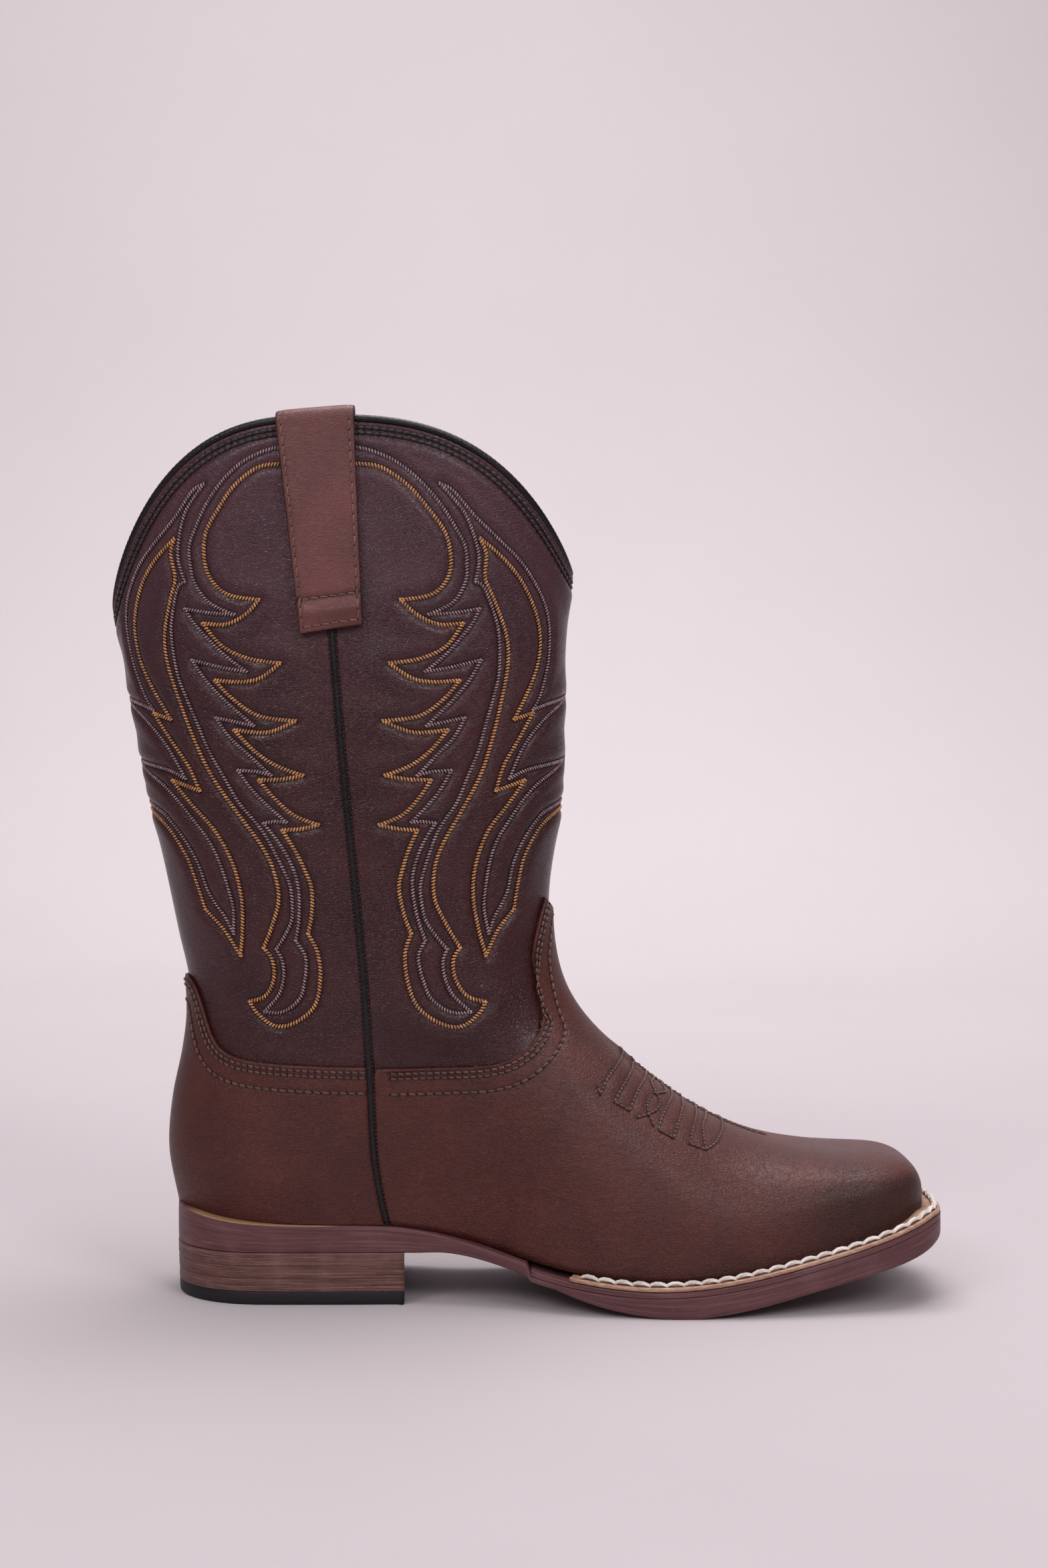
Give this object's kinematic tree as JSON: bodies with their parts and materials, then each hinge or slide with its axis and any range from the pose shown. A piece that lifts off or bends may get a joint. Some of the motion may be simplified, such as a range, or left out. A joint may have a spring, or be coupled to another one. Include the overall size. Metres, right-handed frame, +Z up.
{
  "type": "cowboy boot",
  "caption": "Pull-on western boot for the right foot: scalloped shaft, pull straps, square toe, welted sole and low stacked heel.",
  "frame": {"origin": "on the floor, under the centre of the boot's bounding box", "axes": "+X points to the toe, +Y to the wearer's inner (medial) side, +Z up"},
  "size_m": [0.3184, 0.1131, 0.3332],
  "materials": {
    "foot_leather": "satin, burnished",
    "shaft_leather": "satin",
    "strap_leather": "satin",
    "piping": "satin",
    "lining": "matt",
    "footbed": "matt",
    "board": "matt fibre board",
    "stiffener": "matt",
    "cork": "matt cork",
    "spring_steel": "brushed",
    "welt": "satin",
    "sole_leather": "satin, painted edge",
    "heel_stack": "satin, painted edge",
    "cap_rubber": "matt",
    "gold_thread": "silky thread",
    "mauve_thread": "silky thread",
    "brown_thread": "thread",
    "white_thread": "waxed thread"
  },
  "bodies": {
    "boot": {"vamp": "foot_leather", "heel_counter": "foot_leather", "front_shaft_panel": "shaft_leather", "back_shaft_panel": "shaft_leather", "front_shaft_lining": "lining", "back_shaft_lining": "lining", "vamp_lining": "lining", "toe_puff": "stiffener", "heel_stiffener": "stiffener", "lateral_seam_piping": "piping", "medial_seam_piping": "piping", "front_top_bead": "piping", "back_top_bead": "piping", "footbed": "footbed", "insole_board": "board", "shank": "spring_steel", "shank_rivets": "spring_steel", "cork_filler": "cork", "heel_seat_pad": "board", "welt": "welt", "midsole": "sole_leather", "outsole": "sole_leather", "heel_lift_upper": "heel_stack", "heel_lift_middle": "heel_stack", "heel_lift_lower": "heel_stack", "heel_cap": "cap_rubber", "heel_nails": "spring_steel"},
    "lateral_strap": {"lateral_pull_strap": "strap_leather"},
    "medial_strap": {"medial_pull_strap": "strap_leather"}
  },
  "joints": [
    {"name": "lateral_strap_lift", "type": "slide", "parent": "boot", "child": "lateral_strap", "axis": [-0.0783, 0.0058, 0.9969], "range_m": [0, 0.006]},
    {"name": "medial_strap_lift", "type": "slide", "parent": "boot", "child": "medial_strap", "axis": [-0.0783, -0.0058, 0.9969], "range_m": [0, 0.006]}
  ]
}
